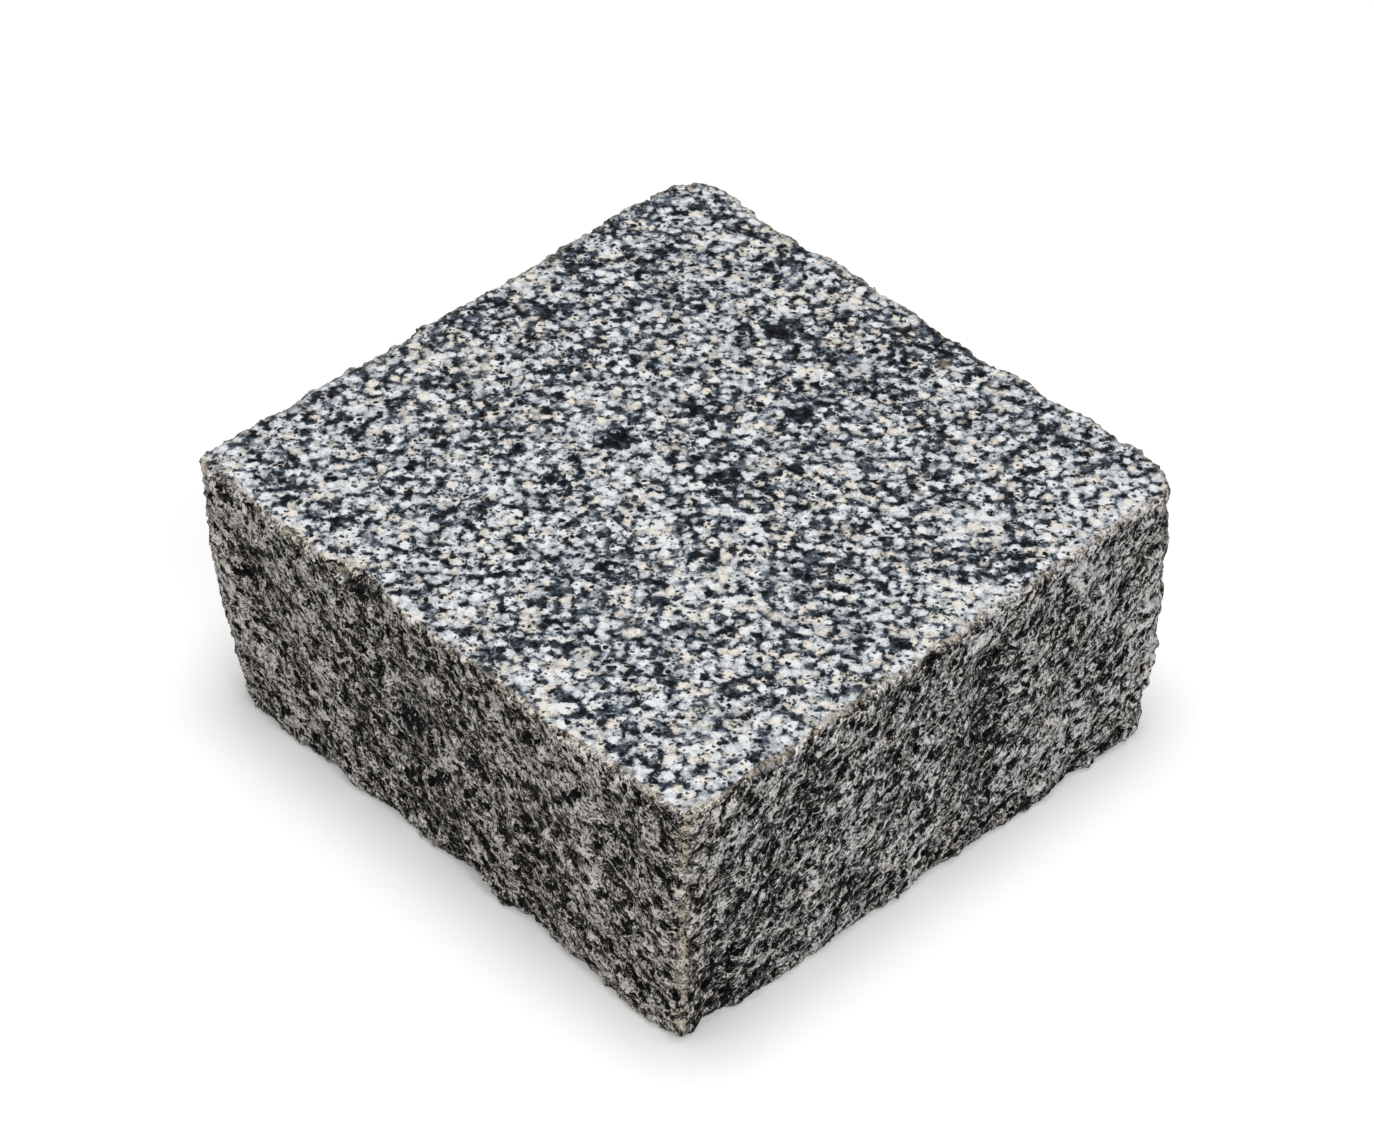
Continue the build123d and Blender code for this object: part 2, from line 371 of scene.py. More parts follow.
# %% Press the scars in
SCARS = [  # side, distance along it, height, ball radius, how far it bites in
    (0, 29.0, 94.0, 16.0, 1.4), (0, 71.0, 94.0, 20.0, 2.4),
    (0, 93.0, 94.0, 14.0, 1.4), (0, 157.0, 94.0, 18.0, 1.3),
    (1, 27.0, 94.0, 18.0, 1.6), (1, 66.0, 94.0, 14.0, 1.4), (1, 141.0, 94.0, 20.0, 1.8),
    (2, 150.0, 94.0, 16.0, 1.2), (3, 66.0, 94.0, 18.0, 1.4),
    (0, 112.0, 0.0, 20.0, 1.8), (1, 100.0, 0.0, 18.0, 1.6),
    (2, 48.0, 0.0, 22.0, 2.0), (2, 139.0, 0.0, 20.0, 1.8), (3, 120.0, 0.0, 20.0, 2.0),
]
SCAR_TILT = radians(25)


def press_scar(points, side, along, level, radius, bite):
    """Points nearer than the radius to the ball's middle move out to the radius."""
    x, y, out_x, out_y, around, _ = ring[np.argmin(np.abs(ring[:, 4] - side_starts[side] - along))]
    reach = split_relief(x, y, around, level) + (radius - bite) * np.cos(SCAR_TILT)
    middle = settle(x + out_x * reach, y + out_y * reach, np.float64(level))
    middle = middle + [0, 0, (radius - bite) * np.sin(SCAR_TILT) * (1 if level > 0 else -1)]
    away = points - middle
    distance = np.linalg.norm(away, axis=1, keepdims=True)
    return np.where(distance < radius, middle + away * radius / distance, points)


for scar in SCARS:
    points = press_scar(points, *scar)
print(len(SCARS), "scars pressed in")

# %% [markdown]
# ## Broken crystals
#
# Granite breaks through and round its crystals, so a split face is a mass of
# small tilted facets with steps between them. Smooth noise looks like clay. Here
# space is filled with cells, each cell has its own step and its own tilt, and a
# point takes the height of the plane of the cell it lies in. The cells are
# flattened across the rift, so that the facets run in slivers along it.

# %% Cells and facets
def hash_cells(cells, seed):
    """Four even random numbers from 0 to 1 for each whole-numbered cell.

    The three cell numbers are multiplied by large odd numbers and mixed by
    shifting and xor, which gives the same numbers on every run.
    """
    c = cells.astype(np.int64).astype(np.uint64)
    h = c[..., 0] * np.uint64(73856093) ^ c[..., 1] * np.uint64(19349663) ^ c[..., 2] * np.uint64(83492791)
    h = h + np.uint64(seed * 2654435761)
    rolls = []
    for _ in range(4):
        h = (h ^ (h >> np.uint64(31))) * np.uint64(0x7FB5D329728EA185)
        h = (h ^ (h >> np.uint64(27))) * np.uint64(0x81DADEF4BC2DD44D)
        h = h ^ (h >> np.uint64(33))
        rolls.append((h >> np.uint64(11)).astype(np.float64) / 2.0**53)
    return np.stack(rolls, axis=-1)


def crystal_facets(places, size, tilt, seed):
    """Height from 0 to about 1 of a face broken through crystals of one size.

    Every point looks at the 27 cells round it and belongs to the one whose
    jittered seed is nearest. Its height is that cell's own step plus the tilt
    times the distance from the seed along the cell's own slope.
    """
    scaled = places / size
    base = np.floor(scaled)
    nearest = np.full(len(places), 9.0)
    height = np.zeros(len(places))
    for shift in np.ndindex(3, 3, 3):
        cell = base + np.array(shift) - 1
        rolls = hash_cells(cell, seed)
        away = scaled - cell - rolls[:, :3]
        distance = (away**2).sum(axis=1)
        slope = hash_cells(cell, seed + 7)[:, :3] - 0.5
        level = rolls[:, 3] + tilt * (away * slope).sum(axis=1)
        closer = distance < nearest
        nearest = np.where(closer, distance, nearest)
        height = np.where(closer, level, height)
    return height


def smooth_noise(places, size, seed):
    """Rolling values from 0 to 1: random corners of a lattice blended smoothly."""
    scaled = places / size
    base = np.floor(scaled)
    share = scaled - base
    share = share * share * (3 - 2 * share)
    value = np.zeros(len(places))
    for corner in np.ndindex(2, 2, 2):
        weight = np.prod(np.where(np.array(corner) == 1, share, 1 - share), axis=1)
        value += weight * hash_cells(base + np.array(corner), seed)[:, 0]
    return value


def flattened(places, times):
    """Places with their distance across the rift made some times larger."""
    return places + (times - 1) * (places @ across_rift)[:, None] * across_rift


print("the first cell's numbers:", np.round(hash_cells(np.zeros((1, 3)), 1)[0], 3))

# %% [markdown]
# ## How rough each part is
#
# The edges of a sett are nibbled away in small chips, and so is the sharp upright
# corner. A bevel would do for a planed block, but it has one width, and broken
# stone hasn't, so how near a point is to an edge says how deep a chip may go there.
# The top was textured with heat, which only pops small grains out, and the sides
# were split and are rougher. So the skin's normals blend two reliefs: the weight
# is 1 where the skin faces sideways and 0 where it faces up or down.

# %% How near each point is to an edge
ARRIS_REACH, BED_REACH, CORNER_REACH = 2.4, 2.6, 4.5
stations = np.concatenate([ring, [[*ring[0, :4], GIRTH, 0.0]]])
fine_out_x, fine_out_y, fine_around = (
    np.interp(grid_columns, np.arange(len(stations)), stations[:, k]) for k in (2, 3, 4)
)
skirt_up = skirt[..., 2]
to_top, to_bed = np.hypot(HEIGHT - skirt_up, insets), np.hypot(skirt_up, insets)
at_corner = np.zeros_like(to_top)
for start, radius in zip(side_starts, CORNER_RADII):
    apart = (fine_around - start + GIRTH / 2) % GIRTH - GIRTH / 2
    at_corner = at_corner + CORNER_REACH / radius * np.exp(-((apart / CORNER_REACH) ** 2))
flat = np.zeros(len(points) - rows * columns)
top_edge = np.concatenate([np.exp(-((to_top / ARRIS_REACH) ** 2)).ravel(), flat])
bed_edge = np.concatenate([np.exp(-((to_bed / BED_REACH) ** 2)).ravel(), flat])
corner_edge = np.concatenate([(at_corner * (insets == 0)).ravel(), flat])
outward = np.zeros_like(points)
outward[: rows * columns, 0] = (fine_out_x + 0 * to_top).ravel()
outward[: rows * columns, 1] = (fine_out_y + 0 * to_top).ravel()
print("points on the edges:", int((top_edge > 0.5).sum()), "top,", int((bed_edge > 0.5).sum()), "bed")

# %% Nibble the edges
ARRIS_CHIP, BED_CHIP, CORNER_CHIP = 1.5, 1.3, 2.0  # how far in the chips go
ARRIS_DROP, BED_RISE = 1.1, 0.7
LARGE_CHIP, SMALL_CHIP, CHIP_TILT = 5.5, 2.6, 0.8
chips = np.clip(crystal_facets(points, LARGE_CHIP, CHIP_TILT, 11) * 1.6 - 0.75, 0, 1)
chips = 0.7 * chips + 0.3 * np.clip(crystal_facets(points, SMALL_CHIP, CHIP_TILT, 12), 0, 1)
inward = ARRIS_CHIP * top_edge + BED_CHIP * bed_edge + CORNER_CHIP * corner_edge
points = points - outward * (inward * chips)[:, None]
points[:, 2] -= (ARRIS_DROP * top_edge - BED_RISE * bed_edge) * chips
print("chips up to", round(float((inward * chips).max()), 2), "mm deep")

# %% Rough the skin
TORN_CRYSTALS = [(0.7, 4.0, 1.1, 2), (0.45, 2.4, 1.2, 3)]  # height, size, tilt, seed
POPPED_HEIGHT, POPPED_SIZE, POPPED_TILT = 0.2, 3.2, 0.6
ROLL_HEIGHT, SIDE_ROLL, TOP_ROLL = 0.3, 9.0, 5.0
skin = bpy.data.meshes.new("granite_skin")
skin.from_pydata(points.tolist(), [], faces)
skin.update()
normals = np.empty(len(points) * 3)
skin.vertex_normals.foreach_get("vector", normals)
normals = normals.reshape(-1, 3)
sideways = np.clip(1.6 * np.hypot(normals[:, 0], normals[:, 1]) - 0.3, 0, 1)

split_places = flattened(points, 1.5)
rough = np.zeros(len(points))
for height, size, tilt, seed in TORN_CRYSTALS:
    rough += height * (crystal_facets(split_places, size, tilt, seed) - 0.5)
rough += ROLL_HEIGHT * (smooth_noise(points, SIDE_ROLL, 4) - 0.5)
popped = ROLL_HEIGHT * (smooth_noise(points, TOP_ROLL, 5) - 1.0)
popped += POPPED_HEIGHT * (crystal_facets(split_places, POPPED_SIZE, POPPED_TILT, 6) - 1.0)
offset = sideways * rough + (1 - sideways) * popped
points = points + normals * offset[:, None]
points = np.clip(points, 1000 * np.array(cad_low), 1000 * np.array(cad_high))
print("relief, mm: sides", round(float(rough.min()), 2), "to", round(float(rough.max()), 2),
      "top", round(float(popped.min()), 2), "to", round(float(popped.max()), 2))

# %% Put the points in metres into the mesh
def mark(name, values):
    """Keeps one number per point on the mesh, for the material to read."""
    kept = skin.attributes.new(name, "FLOAT", "POINT")
    kept.data.foreach_set("value", values.astype(np.float32))


skin.vertices.foreach_set("co", (points / 1000).ravel())
skin.update()
mark("split", sideways)  # 1 on the split sides
# On these lines the colour gets pale beige rims, fresh broken grains and partly a painted highlight, and dark
# notches, which are painted shadow.
mark("rim", np.clip(top_edge**5 + 0.8 * bed_edge**4 + corner_edge**6, 0, 1))  # thin lines on the edges
standing = np.concatenate([standing.ravel(), flat])
# The sides' colour reads this for painted shade: low places darker, standing ones paler.
mark("stand", np.clip(0.5 + 0.45 * offset + 0.12 * standing, 0, 1))  # 1 where the stone stands out
skin.polygons.foreach_set("use_smooth", np.ones(len(skin.polygons), dtype=bool))
block = bpy.data.objects.new("granite_block", skin)
bpy.context.collection.objects.link(block)
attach(block, "root")
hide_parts("granite_sett")
print("block:", [round(1000 * d, 2) for d in block.dimensions], "mm")

# %% [markdown]
# ## The granite
#
# Grey granite is white and beige feldspar, grey glassy quartz and black mica, in
# grains of one to five millimetres. A picture would repeat and stretch at the
# edges, so the grains are cells in space: they run on from the top into the
# sides, as real ones do, and lie a little flattened along the rift. The streaks of
# the real sides are a few degrees steeper than their ridges, and so are the grains.

# %% Node helpers
granite = bpy.data.materials.new("grey_granite")
granite.use_nodes = True
nodes, links = granite.node_tree.nodes, granite.node_tree.links
nodes.clear()


def node(kind, **settings):
    """Adds a shader node; a setting is a property, or a value for a socket."""
    made = nodes.new(kind)
    for name, value in settings.items():
        if name in made.inputs:
            made.inputs[name].default_value = value
        else:
            setattr(made, name, value)
    return made


def put(value, socket):
    """Links a socket to a socket, or sets it to a number or a colour."""
    if isinstance(value, bpy.types.NodeSocket):
        links.new(value, socket)
    elif isinstance(value, tuple) and socket.type == "RGBA":
        socket.default_value = (*value, 1.0)
    else:
        socket.default_value = value


def math(operation, a, b=None, c=None):
    """A Math node on sockets or plain numbers; returns its output."""
    made = node("ShaderNodeMath", operation=operation)
    for socket, value in zip(made.inputs, (a, b, c)):
        if value is not None:
            put(value, socket)
    return made.outputs[0]


def between(value, low, high):
    """0 below low, 1 above high and an even slope between; low may be the larger."""
    made = node("ShaderNodeMapRange", clamp=True)
    for socket, number in zip(made.inputs, (value, low, high, 0.0, 1.0)):
        put(number, socket)
    return made.outputs[0]


def blend_colour(share, first, second, blend="MIX"):
    """Mixes two colours, each a socket or (r, g, b), by a share."""
    made = node("ShaderNodeMix", data_type="RGBA", blend_type=blend)
    put(share, made.inputs[0])
    put(first, made.inputs[6])
    put(second, made.inputs[7])
    return made.outputs[2]


def ramp(value, stops):
    """A colour ramp; stops are (position, (r, g, b)) or (position, grey)."""
    made = node("ShaderNodeValToRGB")
    ends = made.color_ramp.elements
    for k, (position, colour) in enumerate(stops):
        stop = ends[k] if k < 2 else ends.new(position)
        stop.position = position
        stop.color = (*colour, 1.0) if isinstance(colour, tuple) else (colour, colour, colour, 1.0)
    links.new(value, made.inputs[0])
    return made.outputs[0]


print("material:", granite.name)


# %% Where the grains are
GRAIN_BEARING, GRAIN_DIP = radians(-50.0), radians(57.0)  # a little steeper than the ridges
WARP_SCALE = 480.0  # waves of the bending in a metre
place = node("ShaderNodeTexCoord").outputs["Object"]


def rift_places(times, bend):
    """Places turned so that z is across the rift, stretched there, and bent a little."""
    turned = node("ShaderNodeMapping", vector_type="TEXTURE", Rotation=(0.0, GRAIN_DIP, GRAIN_BEARING))
    turned.inputs["Scale"].default_value = (1.0, 1.0, 1.0 / times)
    links.new(place, turned.inputs["Vector"])
    warp = node("ShaderNodeTexNoise", Scale=WARP_SCALE, Detail=1.0, Roughness=0.5)
    links.new(turned.outputs[0], warp.inputs["Vector"])
    spread = node("ShaderNodeVectorMath", operation="MULTIPLY_ADD")
    links.new(warp.outputs["Color"], spread.inputs[0])
    spread.inputs[1].default_value = (bend, bend, bend)
    links.new(turned.outputs[0], spread.inputs[2])
    return spread.outputs[0]


bent = rift_places(1.1, 0.0016)


def grains(millimetres, vector=None, feature="F1"):
    """Voronoi cells of a size: their random numbers, and how far from the middle."""
    made = node("ShaderNodeTexVoronoi", feature=feature, Scale=1000.0 / millimetres, Randomness=1.0)
    links.new(vector or bent, made.inputs["Vector"])
    if feature == "DISTANCE_TO_EDGE":
        return made.outputs["Distance"]
    parts = node("ShaderNodeSeparateColor")
    links.new(made.outputs["Color"], parts.inputs[0])
    return parts.outputs, made.outputs["Distance"]


FELDSPAR, MICA, SPECK = 3.2, 2.0, 1.2
feldspar, feldspar_far = grains(FELDSPAR)
mica, mica_far = grains(MICA)
speck, speck_far = grains(SPECK)
print("grains of", FELDSPAR, MICA, SPECK, "mm")


# %% Slow and fast changes through the stone
def changes(millimetres, detail, roughness=0.6, vector=None):
    """Noise about zero, of a size, with as many finer layers as detail says."""
    made = node("ShaderNodeTexNoise", Scale=1000.0 / millimetres, Detail=detail, Roughness=roughness)
    links.new(vector or bent, made.inputs["Vector"])
    return math("SUBTRACT", made.outputs[0], 0.5)


clouds = changes(13.0, 2.0)
blots = changes(2.7, 3.0)
fine = changes(0.9, 2.0, 0.75)


def weighted(start, *pairs):
    """A number or socket plus a sum of (socket, times) pairs."""
    for value, times in pairs:
        start = math("MULTIPLY_ADD", value, times, start)
    return start


print("changes over 13, 2.7 and 0.9 mm")

# %% [markdown]
# ## Colours of the grains
#
# Up close the pale feldspar stands as rounded grains in a darker, broken ground of
# quartz and mica. So one number says how dark each spot is: it grows away from the
# middle of a pale grain, differs from grain to grain, and drifts with the noise of
# the blots between them. One ramp turns it into the tones of the pale grains, from
# white to blue grey, and a second one into those of the ground, down to black.
# Rounded grains of black mica are laid over it, closer together where the ground is
# dark. The real top also has a few dark knots and one brown spot, so those are
# listed, as turned ellipses.

# %% Dark knots on the top
KNOTS = [  # x, y, half length, half width
    (-22.4, -6.0, 6.0, 3.8), (10.0, 4.0, 5.5, 3.6), (4.1, 39.3, 5.0, 4.4), (-27.3, 61.4, 3.6, 3.0),
]
BROWN_SPOT = (17.2, 86.0, 2.4, 1.8)
KNOT_BEARING = radians(46.0)


def knot(x, y, half_length, half_width):
    """1 in the middle of a turned ellipse on the top and 0 outside it, all in mm."""
    local = node("ShaderNodeMapping", vector_type="TEXTURE", Rotation=(0.0, 0.0, KNOT_BEARING))
    local.inputs["Location"].default_value = (x / 1000, y / 1000, HEIGHT / 1000)
    local.inputs["Scale"].default_value = (half_length / 1000, half_width / 1000, 0.01)
    links.new(place, local.inputs["Vector"])
    length = node("ShaderNodeVectorMath", operation="LENGTH")
    links.new(local.outputs[0], length.inputs[0])
    return between(length.outputs["Value"], 1.2, 0.4)


knots = knot(*KNOTS[0])
for each in KNOTS[1:]:
    knots = math("MAXIMUM", knots, knot(*each))
print(len(KNOTS), "dark knots")

# %% Feldspar and quartz
xyz = node("ShaderNodeSeparateXYZ")
links.new(place, xyz.inputs[0])
# The last 15 mm before the front and right edges are paler.
near_arris = math("MAXIMUM", between(xyz.outputs[0], 0.084, 0.099), between(xyz.outputs[1], -0.081, -0.096))
from_grain = math("SUBTRACT", feldspar_far, 0.45)
darkness = weighted(-0.005, (from_grain, 0.8), (clouds, 0.6), (blots, 1.5), (fine, 1.0))
darkness = weighted(darkness, (near_arris, -0.08), (knots, 0.5))
pale = ramp(weighted(0.42, (feldspar[0], 0.4), (darkness, -1.0), (fine, 2.5)), [
    (0.0, (0.082, 0.10, 0.12)), (0.25, (0.268, 0.29, 0.317)), (0.5, (0.468, 0.49, 0.511)),
    (0.75, (0.67, 0.68, 0.695)), (1.0, (0.86, 0.865, 0.87)),
])
ground = ramp(weighted(0.62, (mica[1], 0.5), (darkness, -1.1), (fine, 2.0)), [
    (0.0, (0.001, 0.001, 0.002)), (0.4, (0.007, 0.009, 0.011)),
    (0.75, (0.056, 0.071, 0.092)), (1.0, (0.165, 0.20, 0.245)),
])
stone = blend_colour(between(darkness, 0.065, 0.105), pale, ground)
beige = math("MULTIPLY", between(feldspar[1], 0.72, 0.80), 0.9)
stone = blend_colour(beige, stone, blend_colour(1.0, stone, (1.0, 0.92, 0.81), "MULTIPLY"))
print("pale grains and ground have", len(nodes), "nodes")

# %% Black mica and specks
mica_share = weighted(0.12, (clouds, 0.6), (blots, 0.5), (near_arris, -0.05), (knots, 0.7))
is_mica = math("LESS_THAN", mica[0], mica_share)
is_mica = math("MULTIPLY", is_mica, between(weighted(mica_far, (fine, 0.3)), 0.52, 0.4))
dark = ramp(mica[1], [(0.0, (0.002, 0.003, 0.004)), (0.8, (0.012, 0.013, 0.016)), (1.0, (0.05, 0.055, 0.065))])
stone = blend_colour(is_mica, stone, dark)
is_speck = math("LESS_THAN", speck[0], weighted(0.2, (clouds, 0.4)))
is_speck = math("MULTIPLY", is_speck, between(speck_far, 0.55, 0.4))
stone = blend_colour(math("MULTIPLY", is_speck, 0.9), stone, (0.005, 0.006, 0.007))
brown = math("MULTIPLY", knot(*BROWN_SPOT), between(fine, -0.15, 0.0))
stone = blend_colour(brown, stone, (0.20, 0.155, 0.12))
print("the top's colours have", len(nodes), "nodes")

# %% [markdown]
# ## The split sides
#
# Where the block was split, the crystals are torn, not popped, so the faces break
# into slivers, all running with the rift. Their colour is partly painted light:
# thin pale edges are painted highlights, as if they caught the light, and the dark
# pits behind them are painted shade. Noise that is flattened more than the grains
# gives the slivers. The seams between flakes, and the places where a noise passes
# through zero, give the thin painted highlights. What stands out is painted paler
# and what lies back is painted darker, as shade, read from an attribute of the
# mesh. That painted shade could be baked instead, but a baked picture can't be
# changed, and a formula can. Tones and bumps are made from the same numbers, so
# they agree.

# %% Slivers and edges
split_share = node("ShaderNodeAttribute", attribute_name="split").outputs["Fac"]
rim_share = node("ShaderNodeAttribute", attribute_name="rim").outputs["Fac"]
stand = node("ShaderNodeAttribute", attribute_name="stand").outputs["Fac"]
FLAKE = 3.0
torn = rift_places(1.6, 0.0024)
flake = grains(FLAKE, torn)[0]
seam = grains(FLAKE, torn, "DISTANCE_TO_EDGE")
slivers = changes(3.0, 2.5, 0.6, torn)
grit = changes(0.8, 1.0, 0.5, torn)
lights = changes(4.0, 1.0, 0.5, torn)
# Painted highlight: thin pale edges on some seams between flakes.
edge_highlight = math("MULTIPLY", between(seam, 0.15, 0.06), between(lights, -0.04, 0.04))
# Painted highlight: thin pale lines where a noise passes through zero.
hair_highlight = between(math("ABSOLUTE", changes(4.0, 1.0, 0.5, torn)), 0.035, 0.015)
# Painted shade: dark pits where the slivers' noise is low.
shaded_pits = between(weighted(slivers, (lights, 0.6)), -0.06, -0.12)
print("flakes of", FLAKE, "mm, with slivers, pale edges and pits")

# %% Tones of the sides
# Painted light: besides the flakes' own tones and grit, raised slivers, pale seams and thin lines are painted
# paler as highlights, and pits and low places darker as shade.
side_tone_and_shade = weighted(0.128, (flake[0], 0.45), (slivers, 0.75), (grit, 1.35), (clouds, -0.6))
side_tone_and_shade = weighted(side_tone_and_shade, (edge_highlight, 0.28), (hair_highlight, 0.28))
side_tone_and_shade = weighted(side_tone_and_shade, (math("SUBTRACT", stand, 0.5), 0.6), (shaded_pits, -0.26))
side_colour_and_shade = ramp(side_tone_and_shade, [
    (0.0, 0.002), (0.12, 0.006), (0.25, 0.03), (0.37, 0.11),
    (0.50, 0.32), (0.62, 0.62), (0.75, 0.88), (0.95, 1.0),
])
black = math("MAXIMUM", math("MULTIPLY", is_mica, 0.75), math("MULTIPLY", is_speck, 0.85))
side_colour_and_shade = blend_colour(black, side_colour_and_shade, (0.004, 0.004, 0.005))
on_front = between(xyz.outputs[1], -0.078, -0.09)
# The front side and some flakes are browner.
browner = weighted(-0.1, (on_front, 0.5), (between(clouds, -0.1, 0.15), 0.4), (flake[1], 0.6))
side_colour_and_shade = blend_colour(browner, side_colour_and_shade, blend_colour(1.0, side_colour_and_shade, (0.97, 0.90, 0.81), "MULTIPLY"))
print("with the sides' colours it is", len(nodes), "nodes")

# %% Top, sides and rims
RIM_BY_TOP, RIM_BY_SIDE, NOTCH_SHADOW = (0.72, 0.61, 0.48), (1.0, 0.87, 0.70), (0.02, 0.015, 0.01)
colour = blend_colour(split_share, stone, side_colour_and_shade)
# Pale beige rims on the edges: fresh broken grains, and partly a painted highlight.
rim = math("MULTIPLY", math("MULTIPLY", rim_share, 0.9), between(weighted(blots, (fine, 1.0)), -0.01, 0.05))
colour = blend_colour(rim, colour, blend_colour(split_share, RIM_BY_TOP, RIM_BY_SIDE))
# Painted shadow: dark brown notches on the edges, as shade under their chips.
notch_shadow = math("MULTIPLY", rim_share, between(weighted(blots, (grit, 0.6)), -0.10, -0.16))
colour = blend_colour(notch_shadow, colour, NOTCH_SHADOW)
print("colour has", len(nodes), "nodes")

# %% [markdown]
# ## Fine relief and shine
#
# The mesh has a point about every millimetre, too few for sharp flakes. More points
# would make it heavy, so the finest relief is a bump: it costs little, but doesn't
# show in the outline, which is why the larger crystals are in the mesh. On the
# split sides each flake slopes its own way, with slivers and pits on it, and the
# top has shallow grains. Dry stone is matt and mirrors little. Only the flat grains
# of mica are smoother, so the roughness falls there.

# %% Surface of the stone
def tilted_facets(millimetres, slope_times, vector):
    """Height of cells that each have their own slope: slope . (place - seed)."""
    cells = node("ShaderNodeTexVoronoi", Scale=1000.0 / millimetres)
    links.new(vector, cells.inputs["Vector"])
    local = node("ShaderNodeVectorMath", operation="SUBTRACT")
    links.new(vector, local.inputs[0])
    links.new(cells.outputs["Position"], local.inputs[1])
    slope = node("ShaderNodeVectorMath", operation="SUBTRACT")
    links.new(cells.outputs["Color"], slope.inputs[0])
    slope.inputs[1].default_value = (0.5, 0.5, 0.5)
    tilt = node("ShaderNodeVectorMath", operation="DOT_PRODUCT")
    links.new(local.outputs[0], tilt.inputs[0])
    links.new(slope.outputs[0], tilt.inputs[1])
    return math("MULTIPLY", tilt.outputs["Value"], slope_times)


side_height = weighted(tilted_facets(FLAKE, 1.4, torn), (slivers, 0.0014), (grit, 0.0002))
side_height = weighted(side_height, (edge_highlight, 0.0001), (shaded_pits, -0.0003))
top_height = math("MULTIPLY_ADD", fine, 0.0003, tilted_facets(2.6, 0.35, bent))
height = node("ShaderNodeMix", data_type="FLOAT")
put(split_share, height.inputs[0])
put(top_height, height.inputs[2])
put(side_height, height.inputs[3])
height = math("MULTIPLY_ADD", fine, 0.0001, height.outputs[0])
height = math("MULTIPLY_ADD", is_mica, -0.0002, height)
bump = node("ShaderNodeBump", Strength=1.0, Distance=1.0)
links.new(height, bump.inputs["Height"])

surface = node("ShaderNodeBsdfPrincipled")
surface.inputs["Specular IOR Level"].default_value = 0.05
links.new(weighted(0.8, (is_mica, -0.4), (is_speck, -0.2), (fine, 0.4)), surface.inputs["Roughness"])
links.new(colour, surface.inputs["Base Color"])
links.new(bump.outputs[0], surface.inputs["Normal"])
output = node("ShaderNodeOutputMaterial")
links.new(surface.outputs[0], output.inputs[0])
skin.materials.append(granite)
print("granite has", len(nodes), "nodes")

# %% [markdown]
# ## Floor, light and camera
#
# The photo is a product shot on white: soft light from above and all round, and a
# pale floor with a soft grey shadow close to the stone. One strong lamp would throw
# a hard shadow, so a third of the light is a plain white room, about half comes
# from a large softbox overhead, and a weaker one from the right brings out the
# relief of the sides. The floor and the room are whiter to the camera than to the
# light, so the background is white, the shadow stays, and the stone gets no more.

# %% The floor
WHITE = (1.0, 1.0, 1.0, 1.0)
FLOOR_GREY, FLOOR_SEEN, FLOOR_GLOW = (0.8, 0.8, 0.8), (1.0, 1.0, 1.0), 0.17
floor_mesh = bpy.data.meshes.new("floor")
floor_mesh.from_pydata([(-6, -6, 0), (6, -6, 0), (6, 6, 0), (-6, 6, 0)], [], [(0, 1, 2, 3)])
floor = bpy.data.objects.new("floor", floor_mesh)
bpy.context.collection.objects.link(floor)
paper = bpy.data.materials.new("white_paper")
paper.use_nodes = True
nodes, links = paper.node_tree.nodes, paper.node_tree.links
nodes.clear()


def seen_ray():
    """1 for rays from the camera, a mirror or a glass, 0 for rays that carry light."""
    ray = node("ShaderNodeLightPath")
    mirrored = math("MAXIMUM", ray.outputs["Is Glossy Ray"], ray.outputs["Is Transmission Ray"])
    return math("MAXIMUM", ray.outputs["Is Camera Ray"], mirrored)


diffuse = node("ShaderNodeBsdfDiffuse")
links.new(blend_colour(seen_ray(), FLOOR_GREY, FLOOR_SEEN), diffuse.inputs["Color"])
glow = node("ShaderNodeEmission", Color=WHITE)
links.new(math("MULTIPLY", seen_ray(), FLOOR_GLOW), glow.inputs["Strength"])
add = node("ShaderNodeAddShader")
links.new(diffuse.outputs[0], add.inputs[0])
links.new(glow.outputs[0], add.inputs[1])
links.new(add.outputs[0], node("ShaderNodeOutputMaterial").inputs[0])
floor_mesh.materials.append(paper)
print("floor of 12 x 12 m")

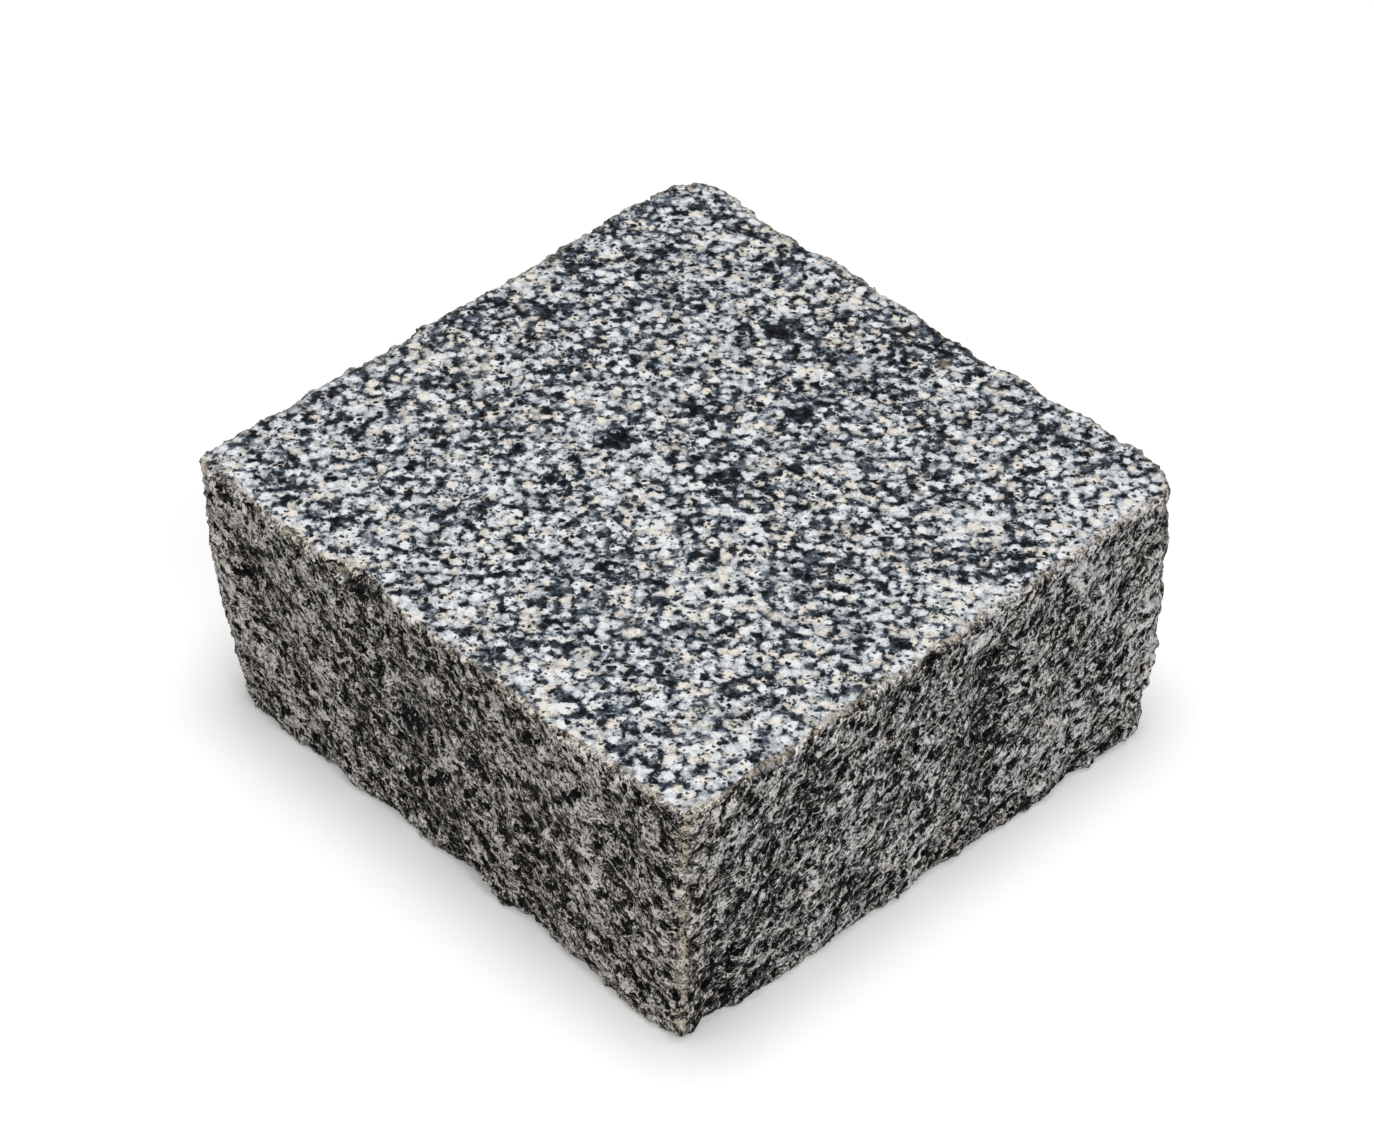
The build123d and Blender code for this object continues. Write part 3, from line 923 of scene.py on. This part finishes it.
# %% The light
ROOM_LIGHT, ROOM_SEEN = 0.35, 1.0
world = bpy.data.worlds.new("studio")
world.use_nodes = True
bpy.context.scene.world = world
nodes, links = world.node_tree.nodes, world.node_tree.links
nodes.clear()
sky = node("ShaderNodeBackground", Color=WHITE, Strength=ROOM_LIGHT)
seen_sky = node("ShaderNodeBackground", Color=WHITE, Strength=ROOM_SEEN)
either = node("ShaderNodeMixShader")
links.new(seen_ray(), either.inputs[0])
links.new(sky.outputs[0], either.inputs[1])
links.new(seen_sky.outputs[0], either.inputs[2])
links.new(either.outputs[0], node("ShaderNodeOutputWorld").inputs[0])


def softbox(name, position, target, size, power):
    """A square area lamp that faces a point, in metres and watts."""
    lamp = bpy.data.lights.new(name, "AREA")
    lamp.size, lamp.energy = size, power
    placed = bpy.data.objects.new(name, lamp)
    placed.location = position
    placed.rotation_mode = "QUATERNION"
    placed.rotation_quaternion = (Vector(target) - Vector(position)).to_track_quat("-Z", "Y")
    bpy.context.collection.objects.link(placed)


MIDDLE = (0, 0, 0.05)
softbox("overhead", (0.03, -0.03, 1.4), MIDDLE, 0.6, 10.0)
softbox("right_fill", (1.15, -0.55, 1.2), MIDDLE, 0.9, 6.5)
print("a softbox overhead, one at the right and a dim white room")

# %% The camera
AZIMUTH, ELEVATION, DISTANCE, RISE = radians(46.4), radians(41.5), 1.329, 0.041
SENSOR, FOCAL_PIXELS, IMAGE_WIDTH = 36.0, 4514.0, 1374.0
back = Vector((sin(AZIMUTH) * cos(ELEVATION), -cos(AZIMUTH) * cos(ELEVATION), sin(ELEVATION)))
right = Vector((cos(AZIMUTH), sin(AZIMUTH), 0.0))
up = back.cross(right)
lens = bpy.data.cameras.new("camera")
lens.sensor_width, lens.lens = SENSOR, SENSOR * FOCAL_PIXELS / IMAGE_WIDTH
lens.clip_start, lens.clip_end = 0.05, 30.0
camera = bpy.data.objects.new("camera", lens)
turned_to = Matrix((right, up, back)).transposed().to_4x4()
camera.matrix_world = Matrix.Translation(back * DISTANCE + up * RISE) @ turned_to
bpy.context.collection.objects.link(camera)
bpy.context.scene.camera = camera
bpy.context.scene.view_settings.view_transform = "Standard"
print("camera", [round(c, 3) for c in camera.matrix_world.translation], "m from the middle of the bed")
